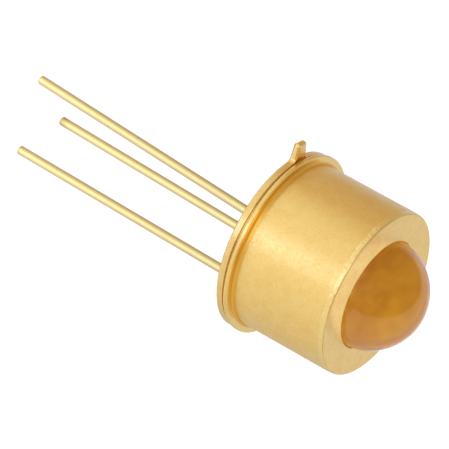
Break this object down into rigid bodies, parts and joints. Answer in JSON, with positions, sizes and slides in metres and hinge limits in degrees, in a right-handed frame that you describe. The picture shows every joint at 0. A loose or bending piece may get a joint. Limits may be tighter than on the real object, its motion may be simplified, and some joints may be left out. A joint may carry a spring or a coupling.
{
  "type": "ultraviolet led",
  "caption": "Ultraviolet LED in a gold-plated metal can with an index tab, a clear ball lens that gathers its light, and long round leads for soldering into a board.",
  "frame": {"origin": "middle of the seating plane, which is the underside of the header", "axes": "+Z along the optical axis towards the lens, so the leads run down -Z; +X through the index tab"},
  "size_m": [0.0101, 0.0092, 0.0226],
  "materials": {
    "header_gold": "satin gold plate on a steel base",
    "cap_gold": "matt gold plate on a drawn metal can, burnished at the front rim",
    "lead_gold": "bright gold plate on drawn wire",
    "lens_glass": "clear polished ball, amber by the gold behind it",
    "solder_glass": "opaque amber solder glass",
    "bead_glass": "dark opaque sealing glass",
    "braze": "smooth braze under gold plate",
    "solder": "gold and tin solder",
    "tile_ceramic": "lapped white ceramic",
    "land_gold": "bright gold film",
    "die": "polished crystal with a sawn edge",
    "wire_gold": "bright drawn gold wire"
  },
  "bodies": {
    "root": {"header": "header_gold", "cap": "cap_gold", "lens": "lens_glass", "lens_seal": "solder_glass", "anode_lead": "lead_gold", "cathode_lead": "lead_gold", "case_lead": "lead_gold", "anode_seal": "bead_glass", "cathode_seal": "bead_glass", "case_lead_braze": "braze", "submount_solder": "solder", "submount": "tile_ceramic", "anode_pad": "land_gold", "cathode_pad": "land_gold", "led_chip": "die", "anode_bump": "solder", "cathode_bump": "solder", "anode_wire": "wire_gold", "cathode_wire": "wire_gold"}
  },
  "joints": []
}
